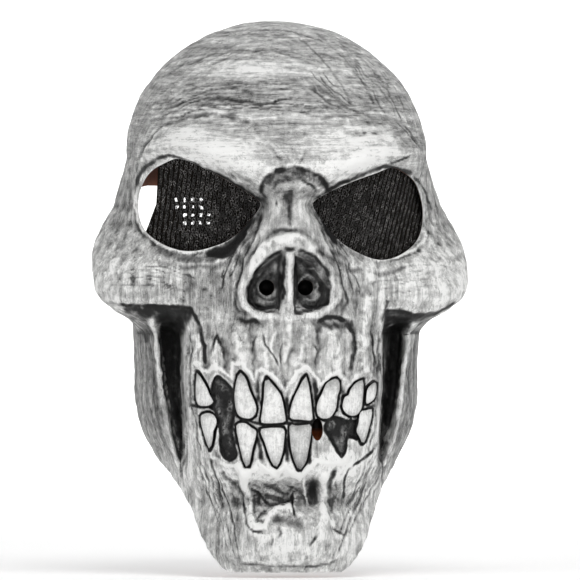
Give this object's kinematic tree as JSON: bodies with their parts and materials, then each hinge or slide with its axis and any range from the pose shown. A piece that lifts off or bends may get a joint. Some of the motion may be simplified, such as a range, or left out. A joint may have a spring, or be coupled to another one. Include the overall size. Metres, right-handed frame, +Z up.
{
  "type": "skull mask",
  "caption": "Moulded latex skull mask that covers the face and the top of the head, with see-through mesh behind the eye holes and breathing holes in the nose.",
  "frame": {"origin": "inside of the crown at its highest point, where the mask sits on the wearer's head", "axes": "+Z up, the face looks along -Y, +X to the right of someone facing the mask"},
  "size_m": [0.2046, 0.2103, 0.3],
  "materials": {
    "painted_latex": "grey-white dry-brushed paint over a black wash, matt; raw orange-brown latex inside",
    "black_mesh": "black open knit with a faint sheen"
  },
  "bodies": {
    "root": {"skull_shell": "painted_latex", "eye_mesh_left": "black_mesh", "eye_mesh_right": "black_mesh"}
  },
  "joints": []
}
